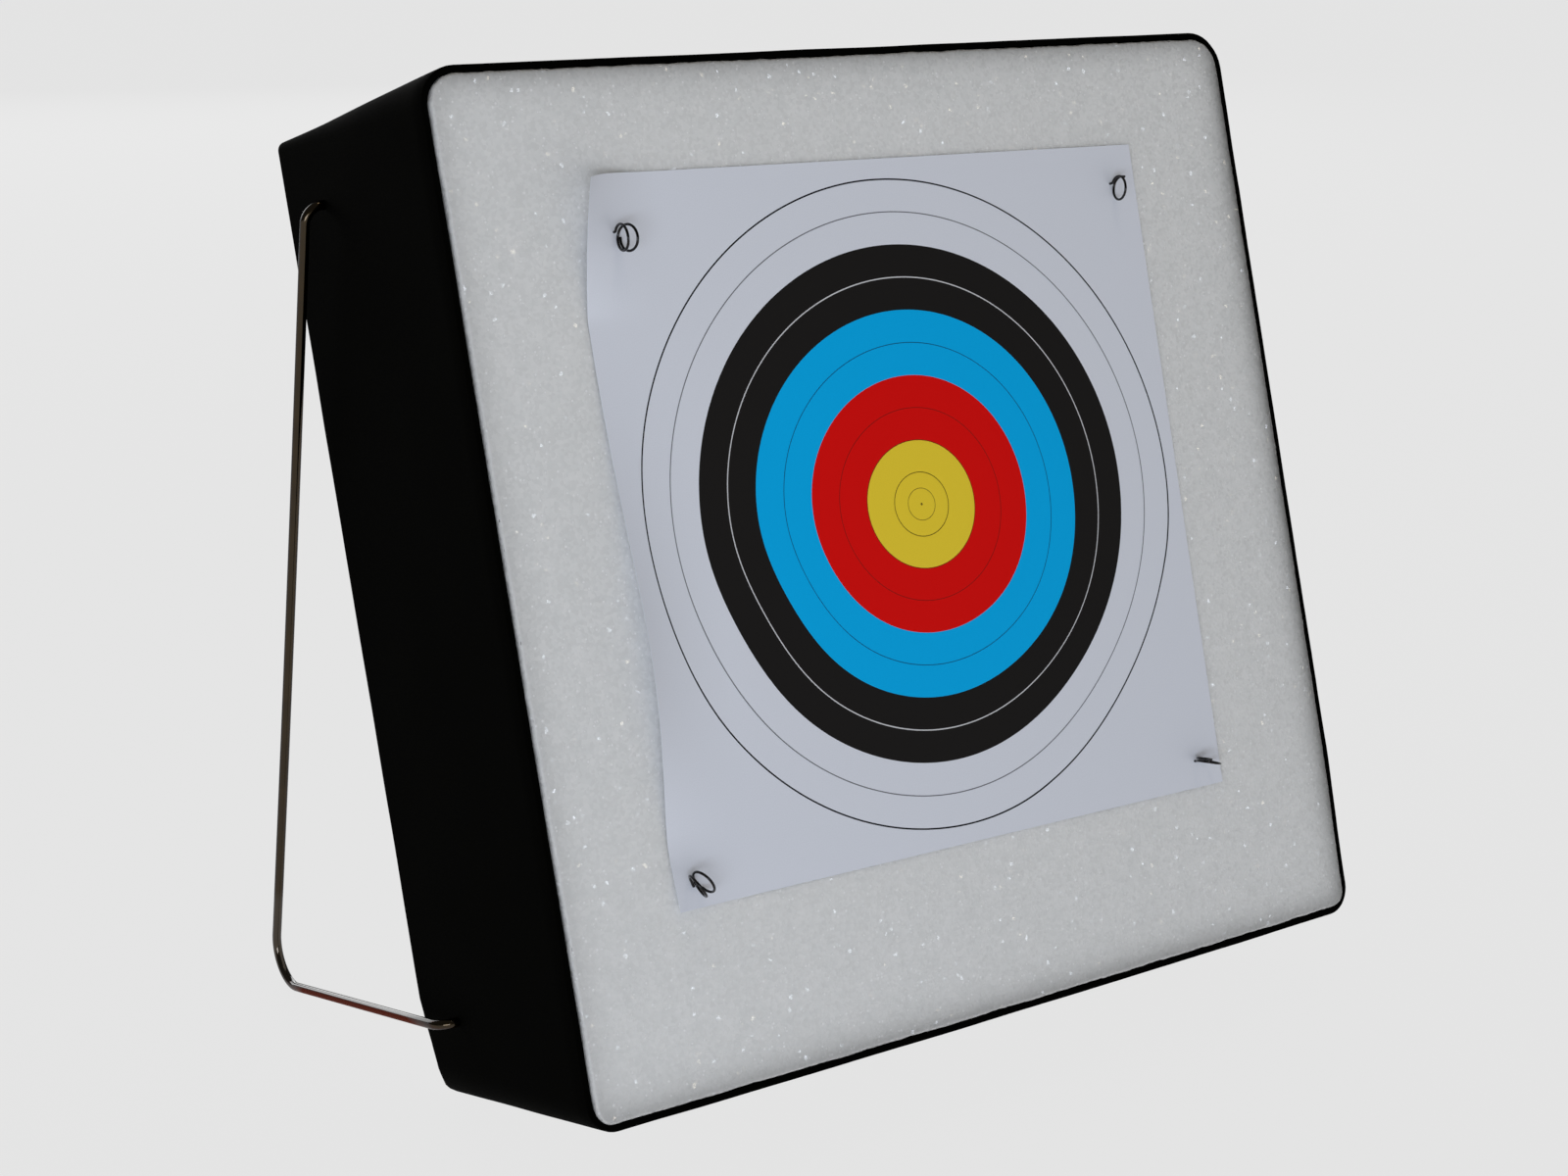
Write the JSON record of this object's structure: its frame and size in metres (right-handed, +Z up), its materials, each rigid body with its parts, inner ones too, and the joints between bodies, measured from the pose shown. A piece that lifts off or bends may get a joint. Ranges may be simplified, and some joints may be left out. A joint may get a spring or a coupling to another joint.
{
  "type": "archery target stand",
  "caption": "Square foam target block in a black side wrap, leaning back on two bent steel rods, with a paper ring target face held on by ring-headed pins.",
  "frame": {"origin": "on the floor, at the middle of the footprint: half way between the braces, and half way from the block's front edge to the braces' backs", "axes": "+X to the right of an archer who faces the target, +Y away from the archer, +Z up; the target face looks towards -Y"},
  "size_m": [0.63, 0.3982, 0.6303],
  "materials": {
    "white_foam": "expanded polyethylene foam, white, fine sparkling cells",
    "black_wrap": "dense black foam sheet, matte",
    "steel_rod": "bright drawn steel rod, smooth",
    "printed_paper": "thick paper, printed with scoring rings, matte",
    "pin_steel": "bright spring wire"
  },
  "bodies": {
    "block": {"foam_plank_1": "white_foam", "foam_plank_2": "white_foam", "foam_plank_3": "white_foam", "foam_plank_4": "white_foam", "foam_plank_5": "white_foam", "side_wrap": "black_wrap"},
    "left_brace": {"left_brace": "steel_rod"},
    "right_brace": {"right_brace": "steel_rod"},
    "face": {"target_face": "printed_paper"},
    "pin_top_left": {"pin_top_left": "pin_steel"},
    "pin_top_right": {"pin_top_right": "pin_steel"},
    "pin_bottom_left": {"pin_bottom_left": "pin_steel"},
    "pin_bottom_right": {"pin_bottom_right": "pin_steel"}
  },
  "joints": [
    {"name": "left_brace_pull", "type": "slide", "parent": "block", "child": "left_brace", "axis": [-1, 0, 0], "range_m": [0, 0.09]},
    {"name": "right_brace_pull", "type": "slide", "parent": "block", "child": "right_brace", "axis": [1, 0, 0], "range_m": [0, 0.09]},
    {"name": "face_lift_off", "type": "slide", "parent": "block", "child": "face", "axis": [0, -0.9406, 0.3395], "range_m": [0, 0.09]},
    {"name": "top_left_pin_pull", "type": "slide", "parent": "face", "child": "pin_top_left", "axis": [0, -0.9406, 0.3395], "range_m": [0, 0.08]},
    {"name": "top_right_pin_pull", "type": "slide", "parent": "face", "child": "pin_top_right", "axis": [0, -0.9406, 0.3395], "range_m": [0, 0.08]},
    {"name": "bottom_left_pin_pull", "type": "slide", "parent": "face", "child": "pin_bottom_left", "axis": [0, -0.9406, 0.3395], "range_m": [0, 0.08]},
    {"name": "bottom_right_pin_pull", "type": "slide", "parent": "face", "child": "pin_bottom_right", "axis": [0, -0.9406, 0.3395], "range_m": [0, 0.08]}
  ]
}
